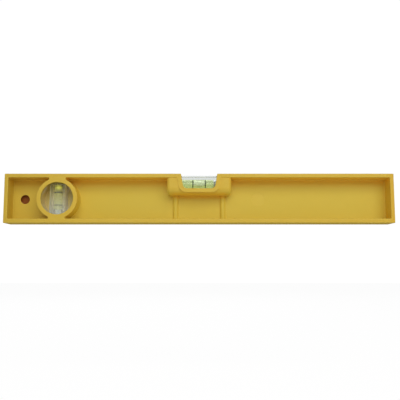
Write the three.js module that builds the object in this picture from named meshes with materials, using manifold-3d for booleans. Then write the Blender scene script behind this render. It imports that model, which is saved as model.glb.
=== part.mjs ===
// Spirit level, 400 mm class: a one-piece moulded body with a deep front recess, a horizontal block vial
// read through a notch in the top edge, and a plumb block vial behind a round window in a ring.
// Millimetres. +X runs along the level, +Y away from its reading face, +Z up. The origin is the centre
// of the underside. Both vials are solid blocks with a bored tube, a plug, two line rings, the liquid
// and an air bubble.
import * as THREE from 'three';
import * as BufferGeometryUtils from 'three/addons/utils/BufferGeometryUtils.js';
import Module from 'manifold-3d';

const wasm = await Module();
wasm.setup();

// ---- body ----
const LENGTH = 400;
const DEPTH = 24;
const HEIGHT = 50.8;
const WALL = 4; // end walls and top flange
const BASE_WALL = 4.4; // bottom flange
const FRONT = -DEPTH / 2;
const REAR = DEPTH / 2;
const WEB_FRONT = 6.3;
const WEB_REAR = 9;
const MID_WEB = (WEB_FRONT + WEB_REAR) / 2;
const RECESS_X = LENGTH / 2 - WALL;
const RECESS_TOP = HEIGHT - WALL;
const PAST = 0.5; // how far a cutter runs past the face it opens

// ---- facets ----
const FINE = 96; // round a large circle
const MIDDLING = 48; // round a tube or a hole
const COARSE = 32; // round a rib or a bubble
const ARC_STEPS = 12; // along a quarter turn of an outline
const BOSS_END_STEPS = 5;
const MERGE = 1e-4; // distance within which vertices are one

// ---- vial blocks, both of one section ----
const BLOCK = 15.7;
const BLOCK_FRONT = -9.7;
const BLOCK_REAR = BLOCK_FRONT + BLOCK;
const BLOCK_CHAMFER = 2.2; // along the horizontal block's lower front edge, inside the housing's round
const TUBE_Y = BLOCK_FRONT + BLOCK / 2;
const TUBE_R = 4.5;
const PLUG_R = 4.4;
const LIQUID_R = 4;
const LINE_OUTER_R = 4.4;
const LINE_INNER_R = 4.1;
const LINE_WIDTH = 0.8;
const LINE_HALF_SPACING = 6.6;
const GAP = 0.3; // air between pieces that touch
const POCKET_CLEARANCE = 0.15; // between a bubble and the liquid around it

// ---- horizontal vial ----
const H_Z = 40.85;
const H_BLOCK_X = 21.7;
const H_TUBE_X = 18.4; // closed end of the tube, on the left
const H_PLUG_X = 15.2; // inner face of the plug, on the right
const H_BUBBLE = { length: 7.4, width: 3.6, height: 3.3, rise: 1 }; // semi-axes and lift off the tube axis
const BUBBLE_CLIP_R = 3.85;

// ---- plumb vial ----
const P_X = -145.8;
const P_Z = HEIGHT / 2;
const RING_OUTER_R = 20.9;
const RING_INNER_R = 16.65;
const NECK_WIDTH = 17.3;
const P_BLOCK_R = RING_INNER_R - GAP;
const P_TUBE_TOP = 40.4;
const P_PLUG_TOP = 13.9;
const P_BUBBLE = { radius: 3.9, height: 3, z: 37.1 };
const P_LIQUID_TOP = 35.8;
const WINDOW_FRONT = -11.6;
const WINDOW_THICKNESS = 1.5;

// ---- notch over the horizontal vial ----
const NOTCH_TOP_X = 18.9;
const NOTCH_FLOOR_X = 16.1;
const NOTCH_FLOOR_Z = 35.6;
const NOTCH_CORNER_R = 4.5;
const NOTCH_RIM = 4.1;

// ---- vial housing on the front of the web ----
const BOSS_X = 33.2;
const BOSS_FRONT = -11.2;
const BOSS_BOTTOM = 29.5;
const BOSS_ROUND = 7.5;
const BOSS_END_ROUND = 3.5;
const BOSS_WALL = 2.4;
const BOSS_FLOOR = 4; // under the hollows beside the vial's pocket
const POCKET_WALL = 2.2;
const RIB_X = 24.7;
const RIB_R = 2.85;

// ---- rear cover of the horizontal vial ----
const COVER_X = 33;
const COVER_BOTTOM = 30.2;
const COVER_THICKNESS = 1.5;
const COVER_CORNER_R = 2.5;

// ---- round hole and moulding mark in the web ----
const HOLE_X = -183.4;
const HOLE_Z = 26;
const HOLE_R = 4.75;
const HOLE_END = 11;
const HOLE_BOSS_R = 7.2;
const HOLE_BOSS_REAR = 11.7;
const MARK_X = 62;
const MARK_R = 6.9;
const MARK_DEPTH = 0.25;

// ---- helpers ----
function toManifold(geometry) {
  const clean = geometry.clone();
  clean.deleteAttribute('normal');
  clean.deleteAttribute('uv');
  const merged = BufferGeometryUtils.mergeVertices(clean, MERGE);
  return new wasm.Manifold(new wasm.Mesh({
    numProp: 3,
    vertProperties: new Float32Array(merged.attributes.position.array),
    triVerts: new Uint32Array(merged.index.array),
  }));
}

function toGeometry(manifold) {
  const mesh = manifold.getMesh();
  const geometry = new THREE.BufferGeometry();
  geometry.setAttribute('position', new THREE.BufferAttribute(new Float32Array(mesh.vertProperties), 3));
  geometry.setIndex(new THREE.BufferAttribute(new Uint32Array(mesh.triVerts), 1));
  geometry.computeVertexNormals();
  return geometry;
}

function boxGeometry(x0, x1, y0, y1, z0, z1) {
  const geometry = new THREE.BoxGeometry(x1 - x0, y1 - y0, z1 - z0);
  return geometry.translate((x0 + x1) / 2, (y0 + y1) / 2, (z0 + z1) / 2);
}

const box = (...limits) => toManifold(boxGeometry(...limits));

// Cylinder about an axis parallel to X, Y or Z, from one coordinate to another along it.
function cylinderGeometry(axis, radius, from, to, centre, segments = MIDDLING) {
  const geometry = new THREE.CylinderGeometry(radius, radius, to - from, segments);
  const middle = (from + to) / 2;
  if (axis === 'x') {
    return geometry.rotateZ(Math.PI / 2).translate(middle, centre[0], centre[1]);
  }
  if (axis === 'y') {
    return geometry.translate(centre[0], middle, centre[1]);
  }
  return geometry.rotateX(Math.PI / 2).translate(centre[0], centre[1], middle);
}

const cylinder = (...shape) => toManifold(cylinderGeometry(...shape));

function ellipsoid(radii, centre) {
  const geometry = new THREE.SphereGeometry(1, COARSE, COARSE / 2);
  geometry.rotateX(Math.PI / 2).scale(...radii).translate(...centre);
  return toManifold(geometry);
}

// Outline of straight sides from [x, y, corner radius] points given anticlockwise.
function outline(corners) {
  const shape = new THREE.Shape();
  corners.forEach(([x, y, radius], i) => {
    const corner = new THREE.Vector2(x, y);
    const before = new THREE.Vector2(...corners.at(i - 1)).sub(corner).normalize();
    const after = new THREE.Vector2(...corners[(i + 1) % corners.length]).sub(corner).normalize();
    const half = Math.acos(before.dot(after)) / 2;
    const start = corner.clone().addScaledVector(before, radius / Math.tan(half));
    if (i === 0) {
      shape.moveTo(start.x, start.y);
    } else {
      shape.lineTo(start.x, start.y);
    }
    if (radius > 0) {
      const end = corner.clone().addScaledVector(after, radius / Math.tan(half));
      const inward = before.clone().add(after).normalize();
      const centre = corner.clone().addScaledVector(inward, radius / Math.sin(half));
      const from = Math.atan2(start.y - centre.y, start.x - centre.x);
      const to = Math.atan2(end.y - centre.y, end.x - centre.x);
      const clockwise = before.cross(after) > 0;
      shape.absarc(centre.x, centre.y, radius, from, to, clockwise);
    }
  });
  shape.closePath();
  return shape;
}

// Plate between two Y levels, from a shape whose x and y are the object's X and Z.
function plate(shape, y0, y1) {
  const depth = y1 - y0;
  const geometry = new THREE.ExtrudeGeometry(shape, { depth, bevelEnabled: false, curveSegments: ARC_STEPS });
  return toManifold(geometry.rotateX(Math.PI / 2).translate(0, y1, 0));
}

// Bar along X, centred on the origin, from an extrusion whose shape's x and y are the object's Y and Z.
function alongX(geometry, length) {
  const turn = new THREE.Matrix4().makeBasis(
    new THREE.Vector3(0, 1, 0), new THREE.Vector3(0, 0, 1), new THREE.Vector3(1, 0, 0));
  return toManifold(geometry.applyMatrix4(turn).translate(-length / 2, 0, 0));
}

function tube(axis, outer, inner, from, to, centre) {
  return cylinder(axis, outer, from, to, centre).subtract(
    cylinder(axis, inner, from - PAST, to + PAST, centre));
}

// ---- shared cutters and forms ----
function notchOutline(top, grow) {
  return outline([
    [-NOTCH_TOP_X - grow, top, 0],
    [-NOTCH_FLOOR_X - grow, NOTCH_FLOOR_Z - grow, NOTCH_CORNER_R + grow],
    [NOTCH_FLOOR_X + grow, NOTCH_FLOOR_Z - grow, NOTCH_CORNER_R + grow],
    [NOTCH_TOP_X + grow, top, 0],
  ]);
}

const notchCutter = plate(notchOutline(HEIGHT + PAST, 0), FRONT - PAST, REAR + PAST);
const plumbRound = cylinder('y', P_BLOCK_R, FRONT, REAR, [P_X, P_Z], FINE);
const hTube = [TUBE_Y, H_Z];
const pTube = [P_X, TUBE_Y];

// Bar of the horizontal block's section, its lower front edge chamfered, with room around it where asked.
function blockBar(halfLength, room, rear) {
  const half = BLOCK / 2 + room;
  const front = BLOCK_FRONT - room;
  const profile = outline([
    [front, H_Z + half, 0],
    [front, H_Z - half + BLOCK_CHAMFER, 0],
    [front + BLOCK_CHAMFER, H_Z - half, 0],
    [rear, H_Z - half, 0],
    [rear, H_Z + half, 0],
  ]);
  const length = 2 * (halfLength + room);
  return alongX(new THREE.ExtrudeGeometry(profile, { depth: length, bevelEnabled: false }), length);
}

// Rounded housing of the horizontal vial: a quarter-round lower edge and rounded ends.
function vialHousing() {
  const back = WEB_FRONT + BOSS_END_ROUND + PAST;
  const top = RECESS_TOP + BOSS_END_ROUND + GAP;
  const profile = new THREE.Shape();
  profile.moveTo(back, BOSS_BOTTOM);
  profile.lineTo(back, top);
  profile.lineTo(BOSS_FRONT, top);
  profile.lineTo(BOSS_FRONT, BOSS_BOTTOM + BOSS_ROUND);
  const roundAt = [BOSS_FRONT + BOSS_ROUND, BOSS_BOTTOM + BOSS_ROUND];
  profile.absarc(...roundAt, BOSS_ROUND, Math.PI, 1.5 * Math.PI, false);
  profile.closePath();
  const length = 2 * (BOSS_X - BOSS_END_ROUND);
  const geometry = new THREE.ExtrudeGeometry(profile, {
    depth: length,
    curveSegments: ARC_STEPS,
    bevelThickness: BOSS_END_ROUND,
    bevelSize: BOSS_END_ROUND,
    bevelOffset: -BOSS_END_ROUND,
    bevelSegments: BOSS_END_STEPS,
  });
  const kept = box(-BOSS_X, BOSS_X, FRONT, MID_WEB, BOSS_BOTTOM - PAST, HEIGHT - PAST);
  return alongX(geometry, length).intersect(kept);
}

// ---- the moulded body ----
function body() {
  let solid = box(-LENGTH / 2, LENGTH / 2, FRONT, REAR, 0, HEIGHT);
  solid = solid.subtract(box(-RECESS_X, RECESS_X, FRONT - PAST, WEB_FRONT, BASE_WALL, RECESS_TOP));
  solid = solid.subtract(box(-RECESS_X, RECESS_X, WEB_REAR, REAR + PAST, BASE_WALL, RECESS_TOP));

  const ring = cylinder('y', RING_OUTER_R, FRONT, MID_WEB, [P_X, P_Z], FINE);
  const neck = NECK_WIDTH / 2;
  const necks = box(P_X - neck, P_X + neck, FRONT, MID_WEB, BASE_WALL - PAST, RECESS_TOP + PAST);
  const ringBore = cylinder('y', RING_INNER_R, FRONT - PAST, WEB_FRONT, [P_X, P_Z], FINE);
  solid = solid.add(ring).add(necks).subtract(ringBore);

  const rimShape = notchOutline(RECESS_TOP + PAST, NOTCH_RIM);
  solid = solid.add(vialHousing()).add(plate(rimShape, FRONT, BOSS_FRONT + BOSS_ROUND));
  for (const side of [-1, 1]) {
    const rib = cylinder('z', RIB_R, BASE_WALL - PAST, BOSS_BOTTOM + PAST, [side * RIB_X, WEB_FRONT], COARSE);
    solid = solid.add(rib.intersect(box(-BOSS_X, BOSS_X, FRONT, MID_WEB, 0, HEIGHT)));
  }

  solid = solid.subtract(blockBar(H_BLOCK_X, GAP, REAR + PAST)).subtract(notchCutter);
  const bayInner = H_BLOCK_X + GAP + POCKET_WALL;
  const bayOuter = BOSS_X - BOSS_WALL;
  for (const side of [-1, 1]) {
    const ends = [side * bayInner, side * bayOuter].sort((a, b) => a - b);
    const bay = box(...ends, BOSS_FRONT + BOSS_WALL, WEB_REAR + PAST, BOSS_BOTTOM + BOSS_FLOOR, RECESS_TOP);
    solid = solid.subtract(bay);
  }

  const holeAt = [HOLE_X, HOLE_Z];
  solid = solid.add(cylinder('y', HOLE_BOSS_R, MID_WEB, HOLE_BOSS_REAR, holeAt));
  solid = solid.subtract(cylinder('y', HOLE_R, WEB_FRONT - PAST, HOLE_END, holeAt));
  const mark = cylinder('y', MARK_R, WEB_FRONT - PAST, WEB_FRONT + MARK_DEPTH, [MARK_X, HOLE_Z]);
  return solid.subtract(mark);
}

// ---- horizontal vial ----
function horizontalBlock() {
  const block = blockBar(H_BLOCK_X, 0, BLOCK_REAR);
  return block.subtract(cylinder('x', TUBE_R, -H_TUBE_X, H_BLOCK_X + PAST, hTube));
}

function horizontalBubble() {
  const { length, width, height, rise } = H_BUBBLE;
  const bubble = ellipsoid([length, width, height], [0, TUBE_Y, H_Z + rise]);
  return bubble.intersect(cylinder('x', BUBBLE_CLIP_R, -length - PAST, length + PAST, hTube));
}

function horizontalLiquid() {
  const length = H_BUBBLE.length + POCKET_CLEARANCE;
  const width = H_BUBBLE.width + POCKET_CLEARANCE;
  const z = H_Z + H_BUBBLE.rise;
  const hollow = ellipsoid([length, width, H_BUBBLE.height + POCKET_CLEARANCE], [0, TUBE_Y, z]);
  const above = new THREE.CylinderGeometry(1, 1, LIQUID_R, COARSE);
  above.rotateX(Math.PI / 2).scale(length, width, 1).translate(0, TUBE_Y, z + LIQUID_R / 2);
  const column = cylinder('x', LIQUID_R, GAP - H_TUBE_X, H_PLUG_X - GAP, hTube);
  return column.subtract(hollow).subtract(toManifold(above));
}

function horizontalCover() {
  const half = BLOCK / 2;
  const top = H_Z + half;
  const outside = outline([
    [-COVER_X, COVER_BOTTOM, COVER_CORNER_R],
    [COVER_X, COVER_BOTTOM, COVER_CORNER_R],
    [COVER_X, RECESS_TOP - GAP, COVER_CORNER_R],
    [-COVER_X, RECESS_TOP - GAP, COVER_CORNER_R],
  ]);
  const outer = WEB_REAR + GAP;
  const rear = outer + COVER_THICKNESS;
  const tongue = box(-H_BLOCK_X, H_BLOCK_X, BLOCK_REAR + GAP, rear, H_Z - half, top);
  return plate(outside, outer, rear).add(tongue).subtract(notchCutter);
}

// ---- plumb vial ----
function plumbBlock() {
  const half = BLOCK / 2;
  const bar = box(P_X - half, P_X + half, BLOCK_FRONT, BLOCK_REAR, 0, HEIGHT);
  return bar.intersect(plumbRound).subtract(cylinder('z', TUBE_R, 0, P_TUBE_TOP, pTube));
}

function plumbPlug() {
  return cylinder('z', PLUG_R, 0, P_PLUG_TOP, pTube).intersect(plumbRound);
}

function plumbBubble(grow = 0) {
  const radius = P_BUBBLE.radius + grow;
  return ellipsoid([radius, radius, P_BUBBLE.height + grow], [P_X, TUBE_Y, P_BUBBLE.z]);
}

function plumbLiquid() {
  const column = cylinder('z', LIQUID_R, P_PLUG_TOP + GAP, P_LIQUID_TOP, pTube);
  return column.subtract(plumbBubble(POCKET_CLEARANCE));
}

function plumbWindow() {
  return cylinder('y', P_BLOCK_R, WINDOW_FRONT, WINDOW_FRONT + WINDOW_THICKNESS, [P_X, P_Z], FINE);
}

function lineRing(axis, at, centre) {
  return tube(axis, LINE_OUTER_R, LINE_INNER_R, at - LINE_WIDTH / 2, at + LINE_WIDTH / 2, centre);
}

// ---- materials ----
const yellowPlastic = { color: 0xcda544, roughness: 0.42, metalness: 0 };
const clearAcrylic = { color: 0xdfe6df, roughness: 0.06, metalness: 0, transparent: true, opacity: 0.35 };
const greenLiquid = { color: 0xb4d36c, roughness: 0.05, metalness: 0, transparent: true, opacity: 0.6 };
const air = { color: 0xeef5dc, roughness: 0.05, metalness: 0, transparent: true, opacity: 0.4 };
const lineInk = { color: 0x4c5c1c, roughness: 0.5, metalness: 0 };
const plugPlastic = { color: 0xd8dccf, roughness: 0.3, metalness: 0 };

// ---- assembly ----
const level = new THREE.Group();
level.name = 'spirit_level';

function addPiece(name, solid, material) {
  const mesh = new THREE.Mesh(toGeometry(solid), new THREE.MeshStandardMaterial(material));
  mesh.name = name;
  level.add(mesh);
}

addPiece('body', body(), yellowPlastic);
addPiece('horizontal_vial_cover', horizontalCover(), yellowPlastic);
addPiece('horizontal_vial_block', horizontalBlock(), clearAcrylic);
addPiece('horizontal_vial_plug', cylinder('x', PLUG_R, H_PLUG_X, H_BLOCK_X, hTube), plugPlastic);
addPiece('horizontal_vial_liquid', horizontalLiquid(), greenLiquid);
addPiece('horizontal_vial_bubble', horizontalBubble(), air);
addPiece('horizontal_line_left', lineRing('x', -LINE_HALF_SPACING, hTube), lineInk);
addPiece('horizontal_line_right', lineRing('x', LINE_HALF_SPACING, hTube), lineInk);
addPiece('plumb_window', plumbWindow(), clearAcrylic);
addPiece('plumb_vial_block', plumbBlock(), clearAcrylic);
addPiece('plumb_vial_plug', plumbPlug(), plugPlastic);
addPiece('plumb_vial_liquid', plumbLiquid(), greenLiquid);
addPiece('plumb_vial_bubble', plumbBubble(), air);
addPiece('plumb_line_upper', lineRing('z', P_Z + LINE_HALF_SPACING, pTube), lineInk);
addPiece('plumb_line_lower', lineRing('z', P_Z - LINE_HALF_SPACING, pTube), lineInk);

export default level;
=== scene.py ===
"""Looks of the spirit level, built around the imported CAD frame. Shapes are drawn in millimetres in the
row frame (+X along the level, +Y away from the reading face, +Z up) and turned into metres at the end.
Names that start with H_ belong to the horizontal vial and names that start with P_ to the plumb vial."""

import math

import bmesh
import bpy
from mathutils import Matrix, Vector


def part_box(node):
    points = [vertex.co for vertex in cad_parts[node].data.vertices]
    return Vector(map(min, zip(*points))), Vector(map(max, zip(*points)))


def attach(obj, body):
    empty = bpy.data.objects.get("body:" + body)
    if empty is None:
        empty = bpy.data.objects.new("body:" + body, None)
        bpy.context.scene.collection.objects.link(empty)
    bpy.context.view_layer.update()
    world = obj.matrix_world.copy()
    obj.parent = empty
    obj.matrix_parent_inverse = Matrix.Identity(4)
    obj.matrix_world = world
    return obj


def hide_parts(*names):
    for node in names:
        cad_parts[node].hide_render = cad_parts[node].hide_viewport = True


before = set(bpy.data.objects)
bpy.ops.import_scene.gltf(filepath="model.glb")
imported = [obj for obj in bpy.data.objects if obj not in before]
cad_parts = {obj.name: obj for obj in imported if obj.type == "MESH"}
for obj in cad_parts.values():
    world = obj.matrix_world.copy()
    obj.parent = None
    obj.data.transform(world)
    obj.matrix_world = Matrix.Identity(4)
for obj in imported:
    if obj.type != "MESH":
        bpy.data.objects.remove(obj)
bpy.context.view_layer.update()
scene = bpy.context.scene

MM = 0.001


def box_mm(node):
    """Lowest and highest corner of a CAD node, in millimetres."""
    low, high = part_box(node)
    return low / MM, high / MM


# ---- sizes of the moulded body, in millimetres ----
BODY_LOW, BODY_HIGH = box_mm("body")
FRONT, REAR = BODY_LOW.y, BODY_HIGH.y
HEIGHT = BODY_HIGH.z
END = BODY_HIGH.x
WALL = 4.0
BASE_WALL = 4.4
WEB_FRONT = 6.3  # the web's face, at the bottom of the front recess
WEB_REAR = 9.0
WEB_MIDDLE = (WEB_FRONT + WEB_REAR) / 2
RECESS_X = END - WALL
RECESS_TOP = HEIGHT - WALL

H_LOW, H_HIGH = box_mm("horizontal_vial_block")
H_CENTRE = (H_LOW + H_HIGH) / 2
P_LOW, P_HIGH = box_mm("plumb_vial_block")
P_CENTRE = (P_LOW + P_HIGH) / 2

RING_CENTRE = (P_CENTRE.x, HEIGHT / 2)
RING_OUTER_R = 20.9
RING_INNER_R = 16.65
NECK_HALF = 8.65  # half the width of the necks that join the ring to the walls

NOTCH_TOP_X = 18.9
NOTCH_FLOOR_X = 16.1
NOTCH_FLOOR_Z = 35.6
NOTCH_CORNER_R = 4.5
NOTCH_RIM = 4.1  # width of the rim round the notch

HOUSING_X = 33.2  # the vial housing's ends
HOUSING_FRONT = -11.2
HOUSING_BOTTOM = 29.5
HOUSING_ROUND = 7.5
HOUSING_END_ROUND = 3.5
HOUSING_WALL = 2.4
HOUSING_FLOOR = 4.0
POCKET_GAP = 0.3  # room round the horizontal block
POCKET_WALL = 2.2
CORE_REAR = WEB_REAR + 0.5
RIB_X = 24.7
RIB_R = 2.85
RIB_TOP = HOUSING_BOTTOM + 1.5

HOLE = (-183.4, 26.0)
HOLE_R = 4.75
HOLE_END = 11.0  # bottom of the blind hole
HOLE_BOSS_R = 7.2
HOLE_BOSS_REAR = 11.7
MARK = (62.0, 26.0)  # the ejector's round mark
MARK_R = 6.9
MARK_DEPTH = 0.25

# How far a cutting shape reaches past the face it opens, and a joined one into its neighbour.
PAST = 1.0

# ---- sizes of the other pieces, in millimetres ----
COVER_GAP = 0.3  # room round the rear cover
COVER_CORNER_R = 2.5
BLOCK_CHAMFER = 2.2

TUBE_R = 4.5
H_AXIS = (H_CENTRE.y, H_CENTRE.z)
P_AXIS = (P_CENTRE.x, P_CENTRE.y)
H_TUBE_END = -18.4  # closed end of the bore, on the left
P_TUBE_TOP = 40.4  # closed end of the bore, at the top

PLUG_R = 4.46
PLUG_CHAMFER = 0.5
PLUG_DISH = 0.6
PLUG_DISH_RIM_SHARE = 0.55
PLUG_DISH_FLOOR_SHARE = 0.45
P_PLUG_RAISE = 0.4  # the flat end stays this far above the lowest point of the CAD plug's curved end

LIQUID_OVERLAP = 0.02
LIQUID_CORNER = 0.6
LINE_DEPTH = 0.2
LINE_REACH = 0.12  # how far a line reaches into the wall of its tube
LINE_ROUND = 0.08
H_BUBBLE_SWELL = (1, 1.12, 1.1)  # share of its CAD box that the bubble fills before its tube flattens it
P_BUBBLE_SWELL = (1.06, 1.06, 1)
BUBBLE_REACH = 4.15  # from the horizontal tube's axis
BUBBLE_GAP = 0.1  # under the plumb tube's end

PANE_REACH = 0.25  # fills most of the gap that the CAD window keeps to the ring
PANE_DOME = 0.35
PANE_EDGE = 0.2

# ---- edges and faces, in millimetres, degrees and shares ----
BODY_ROUND = 0.8
LONG_EDGE = 30
SHORT_EDGE_SHARE = 0.6
NARROW_SHARE = 0.4  # of the breadth of the face beside the edge
COVER_ROUND = 0.35
BLOCK_ROUND = 0.3
ROUNDED_ANGLE = 30  # edges sharper than this are rounded
CREASE_ANGLE = 40  # edges sharper than this are shaded as sharp
FLAT_FACES_FIRST = 100  # a weight that lets the largest faces set the normals at an edge
FLAT_ANGLE = 0.5
MERGE = 0.002
AXIS_MERGE = 0.0001
FACE_REACH = 0.05  # how near to a side of the plumb block a face's centre counts as on it
WEB_REACH = 0.1
HOUSING_REACH = 1.0

# ---- steps round the curves ----
FINE_TURN = 96
SMALL_TURN = 64
RING_STEPS = 48
HOUSING_STEPS = 14
HOUSING_END_STEPS = 6
RIB_STEPS = 20
BLOCK_END_STEPS = 24
CORNER_STEPS = 10
DOME_STEPS = 12
EDGE_STEPS = 3
BUBBLE_SPLITS = 5

# ---- cloudy patterns: lumps per metre, detail, and stretch where it isn't even ----
DRIFT = (9, 1)
CLOUD = (130, 4)
RUB = (420, 3, (1, 2, 2))
HANDLING = (55, 5, (1, 3, 3))
SINK = (38, 1)
GRAIN = (2400, 2)
SMEAR = (240, 3)
SAW_MARKS = (900, 3, (1, 1, 0.1))
BLOCK_CLOUD = (90, 2)
FACE_SCUFFS = (300, 4)
SWIRL = (160, 2)
VEIL_PATCHES = (240, 2, (1, 1, 0.3))
AIR_CLOUD = (300, 1)
FILM_PATCHES = (350, 2)
INK_SPECKLE = (900, 3)
INK_GRAIN = (1400, 2)
PLUG_CLOUD = (500, 3)
PLUG_HANDLING = (800, 2)
PLUG_GRAIN = (1800, 2)
HAZE_PATCHES = (120, 4)

# The values of a pattern at which its run starts and ends.
PATTERN_SPAN = (0.3, 0.7)
DRIFT_SPAN = (0.35, 0.65)
CLOUD_SPAN = (0.4, 0.75)
RUB_SPAN = (0.35, 0.6)
SMEAR_SPAN = (0.45, 0.7)

WHITE = (1.0, 1.0, 1.0)

# ---- yellow plastic; a fade is the pair of places or distances, in millimetres, that it runs between ----
YELLOW = (0.88, 0.595, 0.068)
YELLOW_WARM = (0.86, 0.565, 0.058)
YELLOW_PALE = (0.90, 0.65, 0.105)
YELLOW_LIGHTER = (0.93, 0.70, 0.12)
YELLOW_DIM_SHADE = (0.70, 0.47, 0.05)
# Recess colours: a yellower copy that offsets the warm light bounced in the recess, and an orange painted
# shade.
YELLOW_RECESS_COUNTERSHADE = (0.81, 0.625, 0.075)
YELLOW_SHADE = (1.0, 0.60, 0.045)
YELLOW_END_SHADE = (0.88, 0.50, 0.035)
CLOUD_SHARE = 0.25

# Where the painted shade in the recess runs.
RECESS_FADE = (FRONT + 1, FRONT + 4)
RECESS_SHADE_SHARE = 0.85
TOP_FADE = (38, RECESS_TOP)
HOUSING_SIDE_FADE = (HOUSING_X - 8, HOUSING_X - 2)
HOUSING_LOW_FADE = (HOUSING_BOTTOM - 4, HOUSING_BOTTOM - 1)
HOUSING_HIGH_FADE = (HOUSING_BOTTOM + 1.5, HOUSING_BOTTOM + 4.5)
UNDER_HOUSING_SHADE = 0.75

# Runs of painted shade towards the two ends.
LEFT_END_FADE = (-END, RING_CENTRE[0] + RING_OUTER_R)
LEFT_END_SHADE_SHARE = 0.55
RIGHT_END_FADE = (END - 7, END - 2)
RIGHT_END_SHADE_SHARE = 0.6

RUB_LEAST = 0.25
EDGE_WEAR_AND_HIGHLIGHT = 0.55
EDGE_POLISH = 0.1
MARK_FADE = (MARK_R - 0.6, MARK_R)
MARK_SHARE = 0.18
HOLE_FADE = (HOLE_R + 0.1, HOLE_R + 0.2)
HOLE_FRONT_FADE = (WEB_FRONT + 0.1, WEB_FRONT + 0.9)
HOLE_REAR_FADE = (HOLE_END + 0.2, HOLE_END + 0.4)
# Painted shade inside the hang hole.
HOLE_PAINTED_SHADE = (0.30, 0.085, 0.004)

# The underside: a painted shade darkens it, and wear makes it rougher.
BASE_FADE = (0.05, 0.3)
BASE_SHADE = 0.7
BASE_ROUGHER = 0.5
YELLOW_ROUGH = (0.36, 0.5)
YELLOW_IOR = 1.5
YELLOW_GLOSS = 0.25
SINK_DEPTH = 1.1 * MM
GRAIN_DEPTH = 0.03 * MM
RELIEF = 0.5

# ---- clear pieces; a pair of colours or veil shares runs from the bottom to the top ----
RING_SPAN = (RING_CENTRE[1] - RING_INNER_R, RING_CENTRE[1] + RING_INNER_R)
H_TUBE_SPAN = (H_CENTRE.z - TUBE_R, H_CENTRE.z + TUBE_R)

ACRYLIC_IOR = 1.49
H_CLEAR = (0.70, 0.74, 0.71)
P_CLEAR = (0.99, 0.995, 0.975)
CLOUDED = 0.985
SMEAR_ROUGH = 0.05
SAWN_ROUGH = (0.2, 0.4)
LAMP_CLEAR = (0.995, 1.0, 0.99)
# The frost runs from white at the bottom to yellow at the top, as painted shade under the ring.
FROST_TO_PAINTED_SHADE = (WHITE, (1.0, 0.82, 0.22))
FROST_SHARE = (0.95, 0.85)
FROST_UNEVEN = (0.85, 1.1)
FACE_VEIL = 0.07
FACE_UNEVEN = (0.6, 1.4)

SPIRIT_IOR = 1.43
# Runs from the bottom to the top that paint light on the liquid; the plumb one is whitish low down and shaded
# yellow at the top.
H_SPIRIT_PAINTED_LIGHT = ((0.90, 0.97, 0.30), (0.92, 0.98, 0.56))
P_SPIRIT_PAINTED_LIGHT = ((0.98, 0.99, 0.84), (1.0, 0.95, 0.45))
H_LAMP_GREEN = (0.97, 1.0, 0.86)
P_LAMP_GREEN = (1.0, 1.0, 0.95)
SWIRL_SHIFT = 0.06
H_VEIL_PAINTED_LIGHT = ((0.72, 0.90, 0.28), (0.93, 0.97, 0.86))
H_VEIL_PAINTED_LIGHT_SHARE = (0.04, 0.04)
P_VEIL_PAINTED_LIGHT = ((0.96, 0.98, 0.66), (1.0, 0.92, 0.12))
P_VEIL_PAINTED_LIGHT_SHARE = (0.48, 0.12)
VEIL_CLIMB = (0.25, 0.7)  # the shares of the height between which the veil's share changes
UNEVEN = (0.8, 1.2)

# Painted light on the bubbles: a diffuse film and a gain above 1.
H_AIR_PAINTED_FILM = (1.0, 1.0, 0.94)
H_AIR_PAINTED_FILM_SHARE = 0.12
H_AIR_INDEX = 0.94
H_AIR_PAINTED_GAIN = (1.05, 1.04, 1.18)
P_AIR_PAINTED_FILM = (1.0, 0.95, 0.12)
P_AIR_PAINTED_FILM_SHARE = 0.98
P_AIR_INDEX = 1 / SPIRIT_IOR
AIR_CLOUDED = 0.97

PANE_IOR = 1.22
PANE_CLEAR = (0.98, 0.99, 0.98)
PANE_ROUGH = 0.05
# Haze on the pane: dust, and a painted reflection of the pale floor, stronger towards the bottom.
HAZE_DUST_AND_REFLECTION = (0.86, 0.85, 0.72)
HAZE_SHARE = 0.17
HAZE_FALL = 1.7
HAZE_UNEVEN = (0.75, 1.25)
# A painted reflection: the pale streak across the pane's upper left.
STREAK_START = (RING_CENTRE[0] - 15.8, RING_CENTRE[1] + 2.7)
STREAK_END = (RING_CENTRE[0] - 10.2, RING_CENTRE[1] + 12.0)
STREAK_WIDTH = 0.7
REFLECTION_STREAK_SHARE = 0.2
STREAK_FULL = 0.7  # of its half length, before it fades out

# ---- ink and plugs ----
H_INK = (0.07, 0.10, 0.03)
P_INK = (0.012, 0.010, 0.001)
INK_FADED = 1.6
INK_ROUGH = (0.4, 0.6)
PLUG_WHITE = (0.72, 0.75, 0.68)
PLUG_SHADE = (0.62, 0.66, 0.58)
PLUG_ROUGH = (0.25, 0.4)
PLUG_GRAIN_DEPTH = 0.02 * MM
PLUG_RELIEF = 0.4

# ---- camera and studio, in metres, degrees and watts ----
CAMERA_PLACE = (0.0009, -0.597, -0.0446)
CAMERA_TILT = 6.63
LENS = 51.84
SENSOR = 36
CLIP_START = 0.01

# Ray depths are whole numbers: under this there was no such bounce, and over it there was at least one.
ONE_BOUNCE = 0.5

LAMP_TARGET = (0, 0, 0.025)
FRONT_LAMP_PLACE = (0.30, -1.45, 0.80)
FRONT_LAMP_SIZE = (1.8, 1.05)
FRONT_LAMP_POWER = 14.6
BACK_LAMP_PLACE = (-0.3, 1.5, 1.1)
BACK_LAMP_SIZE = (1.6, 1.0)
BACK_LAMP_POWER = 6.4
BACKDROP = 1.02
AMBIENT = 0.205

FLOOR_Z = -0.17
FLOOR_HALF = 4.0
FLOOR_GREY = (0.85, 0.85, 0.85)
FLOOR_GLOW = 0.9
FLOOR_WHITE = 1.06


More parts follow.
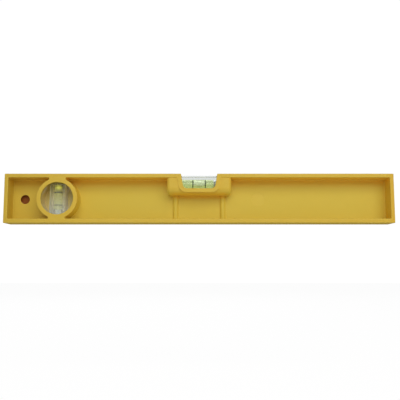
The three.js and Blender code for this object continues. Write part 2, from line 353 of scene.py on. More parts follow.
# ---- mesh helpers ----
def new_object(name, bm):
    bmesh.ops.recalc_face_normals(bm, faces=bm.faces[:])
    mesh = bpy.data.meshes.new(name)
    bm.to_mesh(mesh)
    bm.free()
    obj = bpy.data.objects.new(name, mesh)
    scene.collection.objects.link(obj)
    return obj


def arc(centre, radius, start, end, steps):
    """Points on a circle from one angle to another, in degrees, ends included."""
    turn = [math.radians(start + (end - start) * i / steps) for i in range(steps + 1)]
    return [(centre[0] + radius * math.cos(t), centre[1] + radius * math.sin(t)) for t in turn]


def circle(centre, radius, steps):
    return arc(centre, radius, 0, 360 - 360 / steps, steps - 1)


def rounded(corners):
    """Outline of straight sides with round corners, from (x, z, radius) corners."""
    points = []
    for i, (x, z, radius) in enumerate(corners):
        if radius == 0:
            points.append((x, z))
            continue
        corner = Vector((x, z))
        before = (Vector(corners[i - 1][:2]) - corner).normalized()
        after = (Vector(corners[(i + 1) % len(corners)][:2]) - corner).normalized()
        half = before.angle(after) / 2
        reach = radius / math.tan(half)
        centre = corner + (before + after).normalized() * radius / math.sin(half)
        first = corner + before * reach - centre
        last = corner + after * reach - centre
        start = math.degrees(math.atan2(first.y, first.x))
        sweep = math.degrees(first.angle_signed(last))
        points += arc(centre, radius, start, start - sweep, CORNER_STEPS)
    return points


# Where a point lies whose outline faces along an axis: a and b are in the outline, and level is across it.
def along_x(a, b, level):
    return level, a, b


def along_y(a, b, level):
    return a, level, b


def along_z(a, b, level):
    return a, b, level


def prism(name, outline, start, end, way=along_y):
    """Closed solid from a flat outline, between two levels across it."""
    bm = bmesh.new()
    near = [bm.verts.new(way(a, b, start)) for a, b in outline]
    far = [bm.verts.new(way(a, b, end)) for a, b in outline]
    bm.faces.new(near)
    bm.faces.new(far[::-1])
    for i in range(len(outline)):
        bm.faces.new((near[i - 1], near[i], far[i], far[i - 1]))
    return new_object(name, bm)


def block(name, low, high):
    outline = [(low[0], low[2]), (high[0], low[2]), (high[0], high[2]), (low[0], high[2])]
    return prism(name, outline, low[1], high[1])


def block_bar(name, room, rear):
    """Bar of the horizontal block's section, its lower front edge chamfered, with room left around it."""
    low = H_LOW - Vector((room, room, room))
    high = H_HIGH + Vector((room, room, room))
    profile = [
        (low.y, high.z),
        (low.y, low.z + BLOCK_CHAMFER),
        (low.y + BLOCK_CHAMFER, low.z),
        (rear, low.z),
        (rear, high.z),
    ]
    return prism(name, profile, low.x, high.x, along_x)


def lathe(name, way, centre, profile):
    """Solid turned from (radius, level) points about X, Y or Z; centre is its place across that axis.
    The profile starts and ends on the axis, or else closes on itself."""
    bm = bmesh.new()
    turn = [math.tau * i / FINE_TURN for i in range(FINE_TURN)]
    rings = []
    for radius, level in profile:
        points = [(centre[0] + radius * math.cos(t), centre[1] + radius * math.sin(t)) for t in turn]
        rings.append([bm.verts.new(way(a, b, level)) for a, b in points])
    if profile[0][0] > 0:
        rings.append(rings[0])
    for one, other in zip(rings, rings[1:]):
        for i in range(FINE_TURN):
            bm.faces.new((one[i - 1], one[i], other[i], other[i - 1]))
    bmesh.ops.remove_doubles(bm, verts=bm.verts[:], dist=AXIS_MERGE)
    return new_object(name, bm)


def baked(obj):
    """Applies the object's modifiers."""
    depsgraph = bpy.context.evaluated_depsgraph_get()
    mesh = bpy.data.meshes.new_from_object(obj.evaluated_get(depsgraph), depsgraph=depsgraph)
    old = obj.data
    obj.modifiers.clear()
    obj.data = mesh
    bpy.data.meshes.remove(old)
    return obj


def combine(obj, operation, *others):
    """Cuts the other solids from the object, or joins them to it, and removes them."""
    for other in others:
        modifier = obj.modifiers.new("combine", "BOOLEAN")
        modifier.operation = operation
        modifier.solver = "EXACT"
        modifier.object = other
        baked(obj)
        bpy.data.objects.remove(other)
    return obj


def cleaned(obj):
    """Merges doubles and joins flat neighbours into one face, so that edges can be rounded evenly."""
    bm = bmesh.new()
    bm.from_mesh(obj.data)
    bmesh.ops.remove_doubles(bm, verts=bm.verts[:], dist=MERGE)
    flat = math.radians(FLAT_ANGLE)
    bmesh.ops.dissolve_limit(bm, angle_limit=flat, verts=bm.verts[:], edges=bm.edges[:])
    bm.to_mesh(obj.data)
    bm.free()
    return obj


def tag_faces(obj, name, test):
    """Stores 1 on the faces that pass the test and 0 on the rest, for the material to read."""
    layer = obj.data.attributes.new(name, "FLOAT", "FACE")
    for face, item in zip(obj.data.polygons, layer.data):
        item.value = 1.0 if test(face) else 0.0
    return obj


def round_edges(obj, width, share=lambda edge: 1.0):
    """Rounds each edge that is sharp enough; share(edge) gives its part of the width. The new faces get the
    second material slot, by which they are tagged as edges; the material lightens them as wear and as a
    painted highlight."""
    bm = bmesh.new()
    bm.from_mesh(obj.data)
    layer = bm.edges.layers.float.new("bevel_weight_edge")
    for edge in bm.edges:
        if edge.is_manifold and edge.calc_face_angle() > math.radians(ROUNDED_ANGLE):
            edge[layer] = share(edge)
    bm.to_mesh(obj.data)
    bm.free()
    obj.data.materials.append(None)
    obj.data.materials.append(None)
    modifier = obj.modifiers.new("round", "BEVEL")
    modifier.limit_method = "WEIGHT"
    modifier.width = width
    modifier.segments = EDGE_STEPS
    modifier.use_clamp_overlap = False
    modifier.miter_outer = "MITER_ARC"
    modifier.material = 1
    baked(obj)
    return tag_faces(obj, "edge", lambda face: face.material_index == 1)


# ---- the moulded body ----
def notch_outline(top, grow=0.0):
    return rounded([
        (-NOTCH_TOP_X - grow, top, 0),
        (-NOTCH_FLOOR_X - grow, NOTCH_FLOOR_Z - grow, NOTCH_CORNER_R + grow),
        (NOTCH_FLOOR_X + grow, NOTCH_FLOOR_Z - grow, NOTCH_CORNER_R + grow),
        (NOTCH_TOP_X + grow, top, 0),
    ])


def front_bays():
    """The recess left of the ring and the recess right of it; each ends on the ring's arc and its necks."""
    rise = math.degrees(math.acos(NECK_HALF / RING_OUTER_R))
    bays = []
    for side, facing in ((-1, 180), (1, 0)):
        neck = RING_CENTRE[0] + side * NECK_HALF
        end = side * RECESS_X
        straight = [(neck, RECESS_TOP), (end, RECESS_TOP), (end, BASE_WALL), (neck, BASE_WALL)]
        turn = arc(RING_CENTRE, RING_OUTER_R, facing - side * rise, facing + side * rise, RING_STEPS)
        bays.append(prism("bay", straight + turn, FRONT - PAST, WEB_FRONT))
    return bays


def vial_housing():
    """Housing on the web: quarter-round lower edge, and ends rounded by shrinking the section near them."""
    def section(inset):
        centre = (HOUSING_FRONT + HOUSING_ROUND, HOUSING_BOTTOM + HOUSING_ROUND)
        turn = arc(centre, HOUSING_ROUND - inset, 180, 270, HOUSING_STEPS)
        top = HEIGHT - PAST
        upper = [(WEB_MIDDLE, top), (HOUSING_FRONT + inset, top)]
        return upper + turn + [(WEB_MIDDLE, HOUSING_BOTTOM + inset)]

    bm = bmesh.new()
    rings = []
    angles = [math.pi / 2 * i / HOUSING_END_STEPS for i in range(HOUSING_END_STEPS + 1)]
    for side, turn in ((-1, angles), (1, angles[::-1])):
        for t in turn:
            inset = HOUSING_END_ROUND * (1 - math.sin(t))
            x = side * (HOUSING_X - HOUSING_END_ROUND * (1 - math.cos(t)))
            rings.append([bm.verts.new((x, y, z)) for y, z in section(inset)])
    for one, other in zip(rings, rings[1:]):
        for i in range(len(one)):
            bm.faces.new((one[i - 1], one[i], other[i], other[i - 1]))
    bm.faces.new(rings[0])
    bm.faces.new(rings[-1][::-1])
    return new_object("housing", bm)


def disc(name, centre, radius, front, rear, steps=SMALL_TURN):
    return prism(name, circle(centre, radius, steps), front, rear)


def add_ribs(obj):
    """A half-round rib under each end of the housing."""
    for side in (-1, 1):
        x = side * RIB_X
        outline = arc((x, WEB_FRONT), RIB_R, 180, 360, RIB_STEPS)
        outline += [(x + RIB_R, WEB_MIDDLE), (x - RIB_R, WEB_MIDDLE)]
        combine(obj, "UNION", prism("rib", outline, BASE_WALL - PAST, RIB_TOP, along_z))


def housing_cores():
    """The hollows left and right of the block's pocket, open to the rear."""
    cores = []
    for side in (-1, 1):
        inner = side * (H_HIGH.x + POCKET_GAP + POCKET_WALL)
        outer = side * (HOUSING_X - HOUSING_WALL)
        low = (min(inner, outer), HOUSING_FRONT + HOUSING_WALL, HOUSING_BOTTOM + HOUSING_FLOOR)
        high = (max(inner, outer), CORE_REAR, RECESS_TOP)
        cores.append(block("core", low, high))
    return cores


def body_edge_share(edge):
    """Long edges of the walls are rounded most, and an edge beside a narrow face only as far as that allows.
    The creases round the housing and the notch's rim stay sharp."""
    length = edge.calc_length()
    middle = (edge.verts[0].co + edge.verts[1].co) / 2
    beside = abs(middle.x) < HOUSING_X + HOUSING_REACH and middle.z > HOUSING_BOTTOM - HOUSING_REACH
    if beside and middle.y < WEB_FRONT + WEB_REACH and not edge.is_convex:
        return 0.0
    breadth = min(face.calc_area() for face in edge.link_faces) / length
    share = 1.0 if length > LONG_EDGE else SHORT_EDGE_SHARE
    return min(share, NARROW_SHARE * breadth / BODY_ROUND)


def make_body():
    obj = block("body_moulding", (-END, FRONT, 0), (END, REAR, HEIGHT))
    rear_bay = block("rear_bay", (-RECESS_X, WEB_REAR, BASE_WALL), (RECESS_X, REAR + PAST, RECESS_TOP))
    combine(obj, "DIFFERENCE", *front_bays(), rear_bay)
    ring_bore = disc("ring_bore", RING_CENTRE, RING_INNER_R, FRONT - PAST, WEB_FRONT, FINE_TURN)
    combine(obj, "DIFFERENCE", ring_bore)

    rim = prism("rim", notch_outline(RECESS_TOP + PAST, NOTCH_RIM), FRONT, HOUSING_FRONT + HOUSING_ROUND)
    combine(obj, "UNION", vial_housing(), rim)
    add_ribs(obj)
    pocket = block_bar("pocket", POCKET_GAP, REAR + PAST)
    notch = prism("notch", notch_outline(HEIGHT + PAST), FRONT - PAST, REAR + PAST)
    combine(obj, "DIFFERENCE", pocket, notch, *housing_cores())

    combine(obj, "UNION", disc("hole_boss", HOLE, HOLE_BOSS_R, WEB_MIDDLE, HOLE_BOSS_REAR))
    hole = disc("hole", HOLE, HOLE_R, WEB_FRONT - PAST, HOLE_END)
    mark = disc("mark", MARK, MARK_R, WEB_FRONT - PAST, WEB_FRONT + MARK_DEPTH)
    combine(obj, "DIFFERENCE", hole, mark)
    return round_edges(cleaned(obj), BODY_ROUND, body_edge_share)


# ---- the cover and the vials ----
def make_cover():
    """Rear cover: a rounded plate with a tongue that fills the pocket behind the block."""
    low, high = box_mm("horizontal_vial_cover")
    top = RECESS_TOP - COVER_GAP
    corners = [(low.x, low.z), (high.x, low.z), (high.x, top), (low.x, top)]
    plate = rounded([(x, z, COVER_CORNER_R) for x, z in corners])
    obj = prism("rear_cover", plate, WEB_REAR + COVER_GAP, high.y)
    tongue = block("tongue", (H_LOW.x, low.y, H_LOW.z), (H_HIGH.x, high.y, H_HIGH.z))
    combine(obj, "UNION", tongue)
    combine(obj, "DIFFERENCE", prism("notch", notch_outline(HEIGHT + PAST), low.y - PAST, high.y + PAST))
    return round_edges(cleaned(obj), COVER_ROUND)


def bored(obj, way, centre, start, end):
    bore = prism("bore", circle(centre, TUBE_R, FINE_TURN), start, end, way)
    combine(obj, "DIFFERENCE", bore)
    return round_edges(cleaned(obj), BLOCK_ROUND)


def make_horizontal_block():
    obj = block_bar("horizontal_clear_block", 0, H_HIGH.y)
    return bored(obj, along_x, H_AXIS, H_TUBE_END, H_HIGH.x + PAST)


def is_sawn_face(face):
    """Sides and back of the plumb block."""
    at_side = abs(abs(face.center.x - P_CENTRE.x) - (P_HIGH.x - P_LOW.x) / 2) < FACE_REACH
    at_back = P_HIGH.y - face.center.y < FACE_REACH
    return at_side or at_back


def is_front_face(face):
    return face.center.y - P_LOW.y < FACE_REACH


def make_plumb_block():
    """Bar with both ends cut to the ring's curve, bored from below."""
    half = (P_HIGH.x - P_LOW.x) / 2
    radius = (P_HIGH.z - P_LOW.z) / 2
    reach = math.degrees(math.asin(half / radius))
    outline = arc(RING_CENTRE, radius, 270 - reach, 270 + reach, BLOCK_END_STEPS)
    outline += arc(RING_CENTRE, radius, 90 - reach, 90 + reach, BLOCK_END_STEPS)
    obj = prism("plumb_clear_block", outline, P_LOW.y, P_HIGH.y)
    obj = bored(obj, along_z, P_AXIS, P_LOW.z - PAST, P_TUBE_TOP)
    tag_faces(obj, "sawn", is_sawn_face)
    return tag_faces(obj, "front", is_front_face)


def make_plug(name, way, centre, inner, outer):
    """Press-in plug: chamfered inside, with a shallow dish in its outer end."""
    out = 1 if outer > inner else -1
    dish = outer - out * PLUG_DISH
    profile = [
        (0, inner),
        (PLUG_R - PLUG_CHAMFER, inner),
        (PLUG_R, inner + out * PLUG_CHAMFER),
        (PLUG_R, outer - out * PLUG_CHAMFER / 2),
        (PLUG_R - PLUG_CHAMFER / 2, outer),
        (PLUG_R * PLUG_DISH_RIM_SHARE, outer),
        (PLUG_R * PLUG_DISH_FLOOR_SHARE, dish),
        (0, dish),
    ]
    return lathe(name, way, centre, profile)


def make_spirit(name, way, centre, start, end):
    """Liquid column: it reaches just into the block and the plug, so that light passes straight across."""
    radius = TUBE_R + LIQUID_OVERLAP
    low = start - LIQUID_OVERLAP
    high = end + LIQUID_OVERLAP
    profile = [
        (0, low),
        (radius - LIQUID_CORNER, low),
        (radius, low + LIQUID_CORNER),
        (radius, high - LIQUID_CORNER),
        (radius - LIQUID_CORNER, high),
        (0, high),
    ]
    return lathe(name, way, centre, profile)


def make_line_ring(name, way, centre, start, end):
    """Line printed on the wall of the tube, in front of the liquid."""
    outer = TUBE_R + LINE_REACH
    inner = outer - LINE_DEPTH
    profile = [
        (inner, start + LINE_ROUND),
        (inner + LINE_ROUND, start),
        (outer - LINE_ROUND, start),
        (outer, start + LINE_ROUND),
        (outer, end - LINE_ROUND),
        (outer - LINE_ROUND, end),
        (inner + LINE_ROUND, end),
        (inner, end - LINE_ROUND),
    ]
    return lathe(name, way, centre, profile)


def in_horizontal_tube(point):
    """Keeps a point of the bubble off the tube's wall."""
    across = Vector((point.y - H_AXIS[0], point.z - H_AXIS[1]))
    if across.length > BUBBLE_REACH:
        across *= BUBBLE_REACH / across.length
    return Vector((point.x, H_AXIS[0] + across.x, H_AXIS[1] + across.y))


def in_plumb_tube(point):
    """Keeps a point of the bubble under the tube's upper end."""
    return Vector((point.x, point.y, min(point.z, P_TUBE_TOP - BUBBLE_GAP)))


def make_bubble(name, node, swell, clip):
    """Air bubble: a smooth egg, flattened where it presses on its tube."""
    low, high = box_mm(node)
    centre = (low + high) / 2
    size = (high - low) / 2 * Vector(swell)
    bm = bmesh.new()
    bmesh.ops.create_icosphere(bm, subdivisions=BUBBLE_SPLITS, radius=1)
    for vert in bm.verts:
        vert.co = clip(Vector((vert.co.x * size.x, vert.co.y * size.y, vert.co.z * size.z)) + centre)
    return new_object(name, bm)


def make_pane():
    """Clear cap over the plumb vial, slightly domed towards the reader."""
    low, high = box_mm("plumb_window")
    radius = (high.x - low.x) / 2 + PANE_REACH
    shares = [i / DOME_STEPS for i in range(DOME_STEPS + 1)]
    profile = [(radius * share, low.y + PANE_DOME * share ** 2) for share in shares]
    profile += [
        (radius, low.y + PANE_DOME + PANE_EDGE),
        (radius, high.y - PANE_EDGE),
        (radius - PANE_EDGE, high.y),
        (0, high.y),
    ]
    return lathe("plumb_domed_pane", along_y, RING_CENTRE, profile)


# ---- node trees ----
class NodeTree:
    """The nodes of a material or a world. Each input takes a value or another node's output."""

    def __init__(self, owner):
        owner.use_nodes = True
        self.tree = owner.node_tree
        self.tree.nodes.clear()

    def add(self, kind, inputs=None, **settings):
        made = self.tree.nodes.new("ShaderNode" + kind)
        for key, value in settings.items():
            setattr(made, key, value)
        for key, value in (inputs or {}).items():
            socket = made.inputs[key]
            if isinstance(value, bpy.types.NodeSocket):
                self.tree.links.new(value, socket)
            elif socket.type == "RGBA":
                socket.default_value = (*value, 1)
            else:
                socket.default_value = value
        return made

    def maths(self, operation, a, b=0.0):
        return self.add("Math", {0: a, 1: b}, operation=operation).outputs[0]

    def product(self, a, b):
        return self.maths("MULTIPLY", a, b)

    def seen(self):
        """1 for what the camera sees, straight or through glass, and 0 for other light."""
        path = self.add("LightPath").outputs
        through_glass = self.maths("GREATER_THAN", path["Transmission Depth"], ONE_BOUNCE)
        straight = self.maths("LESS_THAN", path["Diffuse Depth"], ONE_BOUNCE)
        return self.maths("MAXIMUM", path["Is Camera Ray"], self.product(through_glass, straight))


class Shader(NodeTree):
    """A material that varies over its piece. The ends of a run are the two values that it goes between."""

    def __init__(self, name):
        self.material = bpy.data.materials.new(name)
        super().__init__(self.material)
        self.place = self.add("TexCoord").outputs["Object"]

    def vector(self, operation, *values):
        """Vector maths: a length or dot product gives a number, and the rest a vector."""
        made = self.add("VectorMath", dict(enumerate(values)), operation=operation)
        return made.outputs["Value" if operation in ("LENGTH", "DOT_PRODUCT") else "Vector"]

    def spread(self, value, limits, ends=(0, 1)):
        """Runs from one end to the other as the value crosses the limits, and stays at an end beyond them."""
        sockets = ("Value", "From Min", "From Max", "To Min", "To Max")
        return self.add("MapRange", dict(zip(sockets, (value, *limits, *ends))), clamp=True).outputs[0]

    def fade(self, value, places, ends=(0, 1)):
        """The same for a value in metres and two places in millimetres."""
        return self.spread(value, (places[0] * MM, places[1] * MM), ends)

    def coordinate(self, axis):
        return self.add("SeparateXYZ", {0: self.place}).outputs[axis]

    def along(self, axis, places, ends=(0, 1)):
        return self.fade(self.coordinate(axis), places, ends)

    def around(self, centre, distances, ends):
        """A run that goes by the distance from a line along Y; centre is its (x, z) in millimetres."""
        shifted = self.vector("SUBTRACT", self.place, (centre[0] * MM, 0, centre[1] * MM))
        flat = self.vector("MULTIPLY", shifted, (1, 0, 1))
        return self.fade(self.vector("LENGTH", flat), distances, ends)

    def streak(self, start, end, width, share):
        """Soft line between two (x, z) points in millimetres."""
        line = Vector(end) - Vector(start)
        way = line.normalized()
        half = line.length / 2
        shifted = self.vector("SUBTRACT", self.place, (start[0] * MM, 0, start[1] * MM))
        beside = self.maths("ABSOLUTE", self.vector("DOT_PRODUCT", shifted, (-way.y, 0, way.x)))
        travel = self.vector("DOT_PRODUCT", shifted, (way.x, 0, way.y))
        from_middle = self.maths("ABSOLUTE", self.maths("SUBTRACT", travel, half * MM))
        across = self.fade(beside, (0, width), (share, 0))
        return self.product(across, self.fade(from_middle, (half * STREAK_FULL, half), (1, 0)))

    def noise(self, scale, detail, stretch=(1, 1, 1)):
        place = self.vector("MULTIPLY", self.place, stretch)
        return self.add("TexNoise", {"Vector": place, "Scale": scale, "Detail": detail}).outputs["Fac"]

    def patches(self, pattern, ends=(0, 1), limits=PATTERN_SPAN):
        return self.spread(self.noise(*pattern), limits, ends)

    def face_tag(self, name):
        return self.add("Attribute", attribute_name=name).outputs["Fac"]

    def blend(self, share, one, other):
        """Mixes two colours, by the inputs and the output that the Mix node keeps for colours."""
        return self.add("Mix", {0: share, 6: one, 7: other}, data_type="RGBA").outputs[2]

    def bump(self, height, distance, strength, base=None):
        """Relief, on top of a coarser relief where there is one."""
        inputs = {"Height": height, "Distance": distance, "Strength": strength}
        if base:
            inputs["Normal"] = base
        return self.add("Bump", inputs).outputs[0]

    def diffuse(self, colour):
        return self.add("BsdfDiffuse", {"Color": colour}).outputs[0]

    def transparent(self, colour):
        return self.add("BsdfTransparent", {"Color": colour}).outputs[0]

    def clear_solid(self, colour, rough, index):
        inputs = {"Base Color": colour, "Roughness": rough, "Transmission Weight": 1.0, "IOR": index}
        return self.add("BsdfPrincipled", inputs).outputs[0]

    def mixed(self, share, one, other):
        return self.add("MixShader", {0: share, 1: one, 2: other}).outputs[0]

    def surface(self, shader):
        self.add("OutputMaterial", {"Surface": shader})
        return self.material

    def glass_surface(self, shader, tint):
        """Lets light from lamps through the glass, tinted, so that what it holds is lit."""
        for_lamps = self.add("LightPath").outputs["Is Shadow Ray"]
        return self.surface(self.mixed(for_lamps, shader, self.transparent(tint)))


def scaled(values, factor):
    return [value * factor for value in values]


# ---- the yellow plastic ----
def yellow_base(shader):
    colour = shader.blend(shader.patches(DRIFT, limits=DRIFT_SPAN), YELLOW, YELLOW_WARM)
    return shader.blend(shader.patches(CLOUD, (0, CLOUD_SHARE), CLOUD_SPAN), colour, YELLOW_PALE)


def recess_painted_shade(shader, colour):
    """Painted shade in the recess: the web yellower there to offset its warm bounced light, and orange
    painted shade under the recess's top and round the housing's lower edge.
    """
    aside = shader.maths("ABSOLUTE", shader.coordinate("X"))
    beside = shader.fade(aside, HOUSING_SIDE_FADE, (UNDER_HOUSING_SHADE, 0))
    level = shader.product(shader.along("Z", HOUSING_LOW_FADE), shader.along("Z", HOUSING_HIGH_FADE, (1, 0)))
    shaded = shader.maths("MAXIMUM", shader.along("Z", TOP_FADE), shader.product(beside, level))
    deep = shader.blend(shaded, YELLOW_RECESS_COUNTERSHADE, YELLOW_SHADE)
    return shader.blend(shader.product(shader.along("Y", RECESS_FADE), RECESS_SHADE_SHARE), colour, deep)


def end_painted_shade(shader, colour):
    """Painted shade: dimmer towards the left end, and warmer and darker at the right end wall."""
    colour = shader.blend(shader.along("X", LEFT_END_FADE, (LEFT_END_SHADE_SHARE, 0)), colour, YELLOW_DIM_SHADE)
    return shader.blend(shader.along("X", RIGHT_END_FADE, (0, RIGHT_END_SHADE_SHARE)), colour, YELLOW_END_SHADE)


def hole_painted_shade(shader):
    """Share of painted shade on the hole's wall and bottom, from just behind the web's face."""
    deep = shader.product(shader.along("Y", HOLE_FRONT_FADE), shader.along("Y", HOLE_REAR_FADE, (1, 0)))
    return shader.product(shader.around(HOLE, HOLE_FADE, (1, 0)), deep)


def yellow_plastic():
    """Moulded plastic: edges lighter where rubbed, partly as a painted highlight; painted shade in the
    recess, at the ends, in the hole and on the rougher underside; faint sink marks and a fine grain.
    """
    shader = Shader("yellow_moulded_plastic")
    rubbed_and_highlit = shader.product(shader.face_tag("edge"), shader.patches(RUB, (RUB_LEAST, 1), RUB_SPAN))
    scuffed = shader.along("Z", BASE_FADE, (1, 0))
    colour = end_painted_shade(shader, recess_painted_shade(shader, yellow_base(shader)))
    # Rubbed edges lighter: partly wear, partly a painted highlight.
    colour = shader.blend(shader.product(rubbed_and_highlit, EDGE_WEAR_AND_HIGHLIGHT), colour, YELLOW_LIGHTER)
    colour = shader.blend(shader.around(MARK, MARK_FADE, (MARK_SHARE, 0)), colour, YELLOW_LIGHTER)
    colour = shader.blend(hole_painted_shade(shader), colour, HOLE_PAINTED_SHADE)
    # Painted shade: the underside darkened.
    colour = shader.blend(shader.product(scuffed, BASE_SHADE), colour, YELLOW_DIM_SHADE)

    handled = shader.patches(HANDLING, YELLOW_ROUGH)
    rough = shader.maths("SUBTRACT", handled, shader.product(rubbed_and_highlit, EDGE_POLISH))
    rough = shader.maths("ADD", rough, shader.product(scuffed, BASE_ROUGHER))
    sink = shader.bump(shader.noise(*SINK), SINK_DEPTH, RELIEF)
    grain = shader.bump(shader.noise(*GRAIN), GRAIN_DEPTH, RELIEF, sink)
    inputs = {"Base Color": colour, "Roughness": rough, "Normal": grain}
    gloss = {"IOR": YELLOW_IOR, "Specular IOR Level": YELLOW_GLOSS}
    return shader.surface(shader.add("BsdfPrincipled", inputs | gloss).outputs[0])


# ---- the clear pieces ----
def acrylic(name, tint):
    """Clear block, polished except on its sawn faces, which scatter most of the light; that scatter turns
    from white low down to yellow and thinner at the top as painted shade. A face tagged as the front one is
    lightly scuffed."""
    shader = Shader(name)
    sawn = shader.face_tag("sawn")
    saw_marks = shader.noise(*SAW_MARKS)
    smear = shader.patches(SMEAR, (0, SMEAR_ROUGH), SMEAR_SPAN)
    sawn_rough = shader.spread(saw_marks, PATTERN_SPAN, SAWN_ROUGH)
    rough = shader.maths("ADD", smear, shader.product(sawn, sawn_rough))
    colour = shader.blend(shader.noise(*BLOCK_CLOUD), tint, scaled(tint, CLOUDED))
    clear = shader.clear_solid(colour, rough, ACRYLIC_IOR)

    # Painted shade: the scatter turns yellow and thins towards the top.
    height = shader.along("Z", RING_SPAN)
    uneven = shader.spread(saw_marks, PATTERN_SPAN, FROST_UNEVEN)
    frosted = shader.product(sawn, shader.product(shader.spread(height, (0, 1), FROST_SHARE), uneven))
    scuffed = shader.product(shader.face_tag("front"), shader.patches(FACE_SCUFFS, FACE_UNEVEN))
    share = shader.maths("MAXIMUM", frosted, shader.product(scuffed, FACE_VEIL))
    frost_and_shade = shader.diffuse(shader.blend(height, *FROST_TO_PAINTED_SHADE))
    return shader.glass_surface(shader.mixed(share, clear, frost_and_shade), LAMP_CLEAR)


def spirit(name, span, colours, lamp_tint, veil, veil_share):
    """Liquid that scatters a little light. Its colour, its veil's colour and the veil's share each run from
    the bottom to the top of the span, and these runs are painted light and shade."""
    shader = Shader(name)
    height = shader.along("Z", span)
    swirl = shader.patches(SWIRL, (-SWIRL_SHIFT, SWIRL_SHIFT))
    colour = shader.blend(shader.maths("ADD", height, swirl), *colours)
    clear = shader.clear_solid(colour, 0.0, SPIRIT_IOR)
    climb = shader.spread(height, VEIL_CLIMB, veil_share)
    share = shader.product(climb, shader.patches(VEIL_PATCHES, UNEVEN))
    painted_light_veil = shader.diffuse(shader.blend(height, *veil))
    return shader.glass_surface(shader.mixed(share, clear, painted_light_veil), lamp_tint)


def trapped_air(name, index, gain, painted_film, painted_film_share):
    """Seen from within the liquid the bubble is the thinner medium, so its index is below 1. Gain, above 1,
    is painted light that gives back what the dye would have taken, and a diffuse film paints the light that
    the curved skin gathers."""
    shader = Shader(name)
    colour = shader.blend(shader.noise(*AIR_CLOUD), gain, scaled(gain, AIR_CLOUDED))
    clear = shader.add("BsdfGlass", {"Color": colour, "Roughness": 0.0, "IOR": index}).outputs[0]
    share = shader.patches(FILM_PATCHES, scaled(UNEVEN, painted_film_share))
    return shader.glass_surface(shader.mixed(share, clear, shader.diffuse(painted_film)), WHITE)


def window_pane():
    """Thin clear cap: it mirrors a little at its face, a whitish haze towards the bottom is dust and a
    painted reflection of the pale floor, and a pale streak, a painted reflection, crosses its upper left."""
    shader = Shader("window_pane")
    low_down = shader.maths("POWER", shader.along("Z", RING_SPAN, (1, 0)), HAZE_FALL)
    dust_and_reflection = shader.product(shader.product(low_down, HAZE_SHARE), shader.patches(HAZE_PATCHES, HAZE_UNEVEN))
    streak = shader.streak(STREAK_START, STREAK_END, STREAK_WIDTH, REFLECTION_STREAK_SHARE)
    haze = shader.diffuse(HAZE_DUST_AND_REFLECTION)
    veil = shader.mixed(shader.maths("MAXIMUM", dust_and_reflection, streak), shader.transparent(PANE_CLEAR), haze)
    mirror = shader.add("BsdfGlossy", {"Color": WHITE, "Roughness": PANE_ROUGH}).outputs[0]
    facing = shader.add("Fresnel", {"IOR": PANE_IOR}).outputs[0]
    return shader.surface(shader.mixed(facing, veil, mirror))


# ---- ink and plugs ----
def line_ink(name, ink):
    shader = Shader(name)
    colour = shader.blend(shader.patches(INK_SPECKLE), ink, scaled(ink, INK_FADED))
    inputs = {"Base Color": colour, "Roughness": shader.patches(INK_GRAIN, INK_ROUGH)}
    return shader.surface(shader.add("BsdfPrincipled", inputs).outputs[0])


def plug_plastic():
    shader = Shader("plug_plastic")
    colour = shader.blend(shader.patches(PLUG_CLOUD), PLUG_WHITE, PLUG_SHADE)
    rough = shader.patches(PLUG_HANDLING, PLUG_ROUGH)
    grain = shader.bump(shader.noise(*PLUG_GRAIN), PLUG_GRAIN_DEPTH, PLUG_RELIEF)
    inputs = {"Base Color": colour, "Roughness": rough, "Normal": grain}
    return shader.surface(shader.add("BsdfPrincipled", inputs).outputs[0])


# ---- the pieces, each on its body and in place of its CAD node ----
def paint(obj, material):
    for face in obj.data.polygons:
        face.material_index = 0
    obj.data.materials.clear()
    obj.data.materials.append(material)
    return obj


def add_piece(obj, material, body, slot, *nodes):
    """Turns the piece into metres, shades it smooth and ties it to the frame."""
    paint(obj, material)
    obj.data.transform(Matrix.Scale(MM, 4))
    obj.data.shade_smooth()
    obj.data.set_sharp_from_angle(angle=math.radians(CREASE_ANGLE))
    smooth = obj.modifiers.new("flat_faces_first", "WEIGHTED_NORMAL")
    smooth.weight = FLAT_FACES_FIRST
    smooth.keep_sharp = True
    baked(obj)
    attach(obj, body)
    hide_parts(*nodes)
    return obj


yellow = yellow_plastic()
h_acrylic = acrylic("horizontal_block_acrylic", H_CLEAR)
p_acrylic = acrylic("plumb_block_acrylic", P_CLEAR)
h_spirit = spirit("horizontal_green_spirit", H_TUBE_SPAN, H_SPIRIT_PAINTED_LIGHT, H_LAMP_GREEN, H_VEIL_PAINTED_LIGHT, H_VEIL_PAINTED_LIGHT_SHARE)
p_spirit = spirit("plumb_green_spirit", RING_SPAN, P_SPIRIT_PAINTED_LIGHT, P_LAMP_GREEN, P_VEIL_PAINTED_LIGHT, P_VEIL_PAINTED_LIGHT_SHARE)
h_air = trapped_air("horizontal_trapped_air", H_AIR_INDEX, H_AIR_PAINTED_GAIN, H_AIR_PAINTED_FILM, H_AIR_PAINTED_FILM_SHARE)
p_air = trapped_air("plumb_trapped_air", P_AIR_INDEX, WHITE, P_AIR_PAINTED_FILM, P_AIR_PAINTED_FILM_SHARE)
h_ink = line_ink("horizontal_line_ink", H_INK)
p_ink = line_ink("plumb_line_ink", P_INK)
white_plug = plug_plastic()

add_piece(make_body(), yellow, "level", "body_plastic", "body")
add_piece(make_cover(), yellow, "level", "cover_plastic", "horizontal_vial_cover")

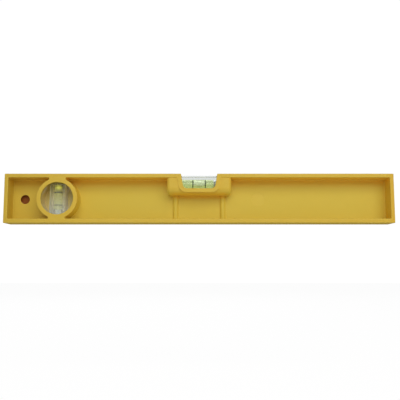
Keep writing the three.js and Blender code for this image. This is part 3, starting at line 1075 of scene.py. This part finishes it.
h_plug_low, h_plug_high = box_mm("horizontal_vial_plug")
add_piece(make_horizontal_block(), h_acrylic, "level", "clear_acrylic", "horizontal_vial_block")
h_plug = make_plug("horizontal_plug_cap", along_x, H_AXIS, h_plug_low.x, h_plug_high.x)
add_piece(h_plug, white_plug, "level", "plug_plastic", "horizontal_vial_plug")
h_liquid = make_spirit("horizontal_spirit", along_x, H_AXIS, H_TUBE_END, h_plug_low.x)
add_piece(h_liquid, h_spirit, "level", "green_liquid", "horizontal_vial_liquid")
for side in ("left", "right"):
    node = "horizontal_line_" + side
    low, high = box_mm(node)
    ring = make_line_ring("horizontal_ring_" + side, along_x, H_AXIS, low.x, high.x)
    add_piece(ring, h_ink, "level", "line_ink", node)

p_plug_low, p_plug_high = box_mm("plumb_vial_plug")
add_piece(make_plumb_block(), p_acrylic, "level", "clear_acrylic", "plumb_vial_block")
p_plug = make_plug("plumb_plug_cap", along_z, P_AXIS, p_plug_high.z, p_plug_low.z + P_PLUG_RAISE)
add_piece(p_plug, white_plug, "level", "plug_plastic", "plumb_vial_plug")
p_liquid = make_spirit("plumb_spirit", along_z, P_AXIS, p_plug_high.z, P_TUBE_TOP)
add_piece(p_liquid, p_spirit, "level", "green_liquid", "plumb_vial_liquid")
for side in ("upper", "lower"):
    node = "plumb_line_" + side
    low, high = box_mm(node)
    ring = make_line_ring("plumb_ring_" + side, along_z, P_AXIS, low.z, high.z)
    add_piece(ring, p_ink, "level", "line_ink", node)
add_piece(make_pane(), window_pane(), "level", "clear_acrylic", "plumb_window")

h_bubble = make_bubble("horizontal_air", "horizontal_vial_bubble", H_BUBBLE_SWELL, in_horizontal_tube)
add_piece(h_bubble, h_air, "horizontal_bubble", "air", "horizontal_vial_bubble")
p_bubble = make_bubble("plumb_air", "plumb_vial_bubble", P_BUBBLE_SWELL, in_plumb_tube)
add_piece(p_bubble, p_air, "plumb_bubble", "air", "plumb_vial_bubble")

# ---- camera ----
camera = bpy.data.objects.new("camera", bpy.data.cameras.new("camera"))
camera.data.sensor_width = SENSOR
camera.data.lens = LENS
camera.data.clip_start = CLIP_START
camera.location = CAMERA_PLACE
camera.rotation_euler = (math.radians(90 + CAMERA_TILT), 0, 0)
scene.collection.objects.link(camera)
scene.camera = camera


# ---- studio ----
def softbox(name, place, size, power):
    lamp = bpy.data.lights.new(name, "AREA")
    lamp.shape = "RECTANGLE"
    lamp.size, lamp.size_y = size
    lamp.energy = power
    obj = bpy.data.objects.new(name, lamp)
    obj.location = place
    obj.rotation_euler = (Vector(LAMP_TARGET) - Vector(place)).to_track_quat("-Z", "Y").to_euler()
    obj.visible_camera = False
    scene.collection.objects.link(obj)


def studio_world():
    """White for the camera and for what is seen through glass, and dimmer as ambient light."""
    world = bpy.data.worlds.new("studio")
    nodes = NodeTree(world)
    inputs = {"Value": nodes.seen(), "To Min": AMBIENT, "To Max": BACKDROP}
    strength = nodes.add("MapRange", inputs).outputs[0]
    background = nodes.add("Background", {"Color": WHITE, "Strength": strength}).outputs[0]
    nodes.add("OutputWorld", {"Surface": background})
    return world


def floor_material():
    """Pale and matt; the camera sees it near the backdrop's white, also through glass."""
    shader = Shader("pale_floor")
    white = shader.add("Emission", {"Strength": FLOOR_WHITE}).outputs[0]
    glow = shader.product(shader.seen(), FLOOR_GLOW)
    return shader.surface(shader.mixed(glow, shader.diffuse(FLOOR_GREY), white))


def make_floor():
    bm = bmesh.new()
    half = FLOOR_HALF
    corners = [(-half, -half), (half, -half), (half, half), (-half, half)]
    bm.faces.new([bm.verts.new((x, y, FLOOR_Z)) for x, y in corners])
    return paint(new_object("floor", bm), floor_material())


softbox("front_softbox", FRONT_LAMP_PLACE, FRONT_LAMP_SIZE, FRONT_LAMP_POWER)
softbox("back_softbox", BACK_LAMP_PLACE, BACK_LAMP_SIZE, BACK_LAMP_POWER)
scene.world = studio_world()
floor = make_floor()

scene.view_settings.view_transform = "Standard"
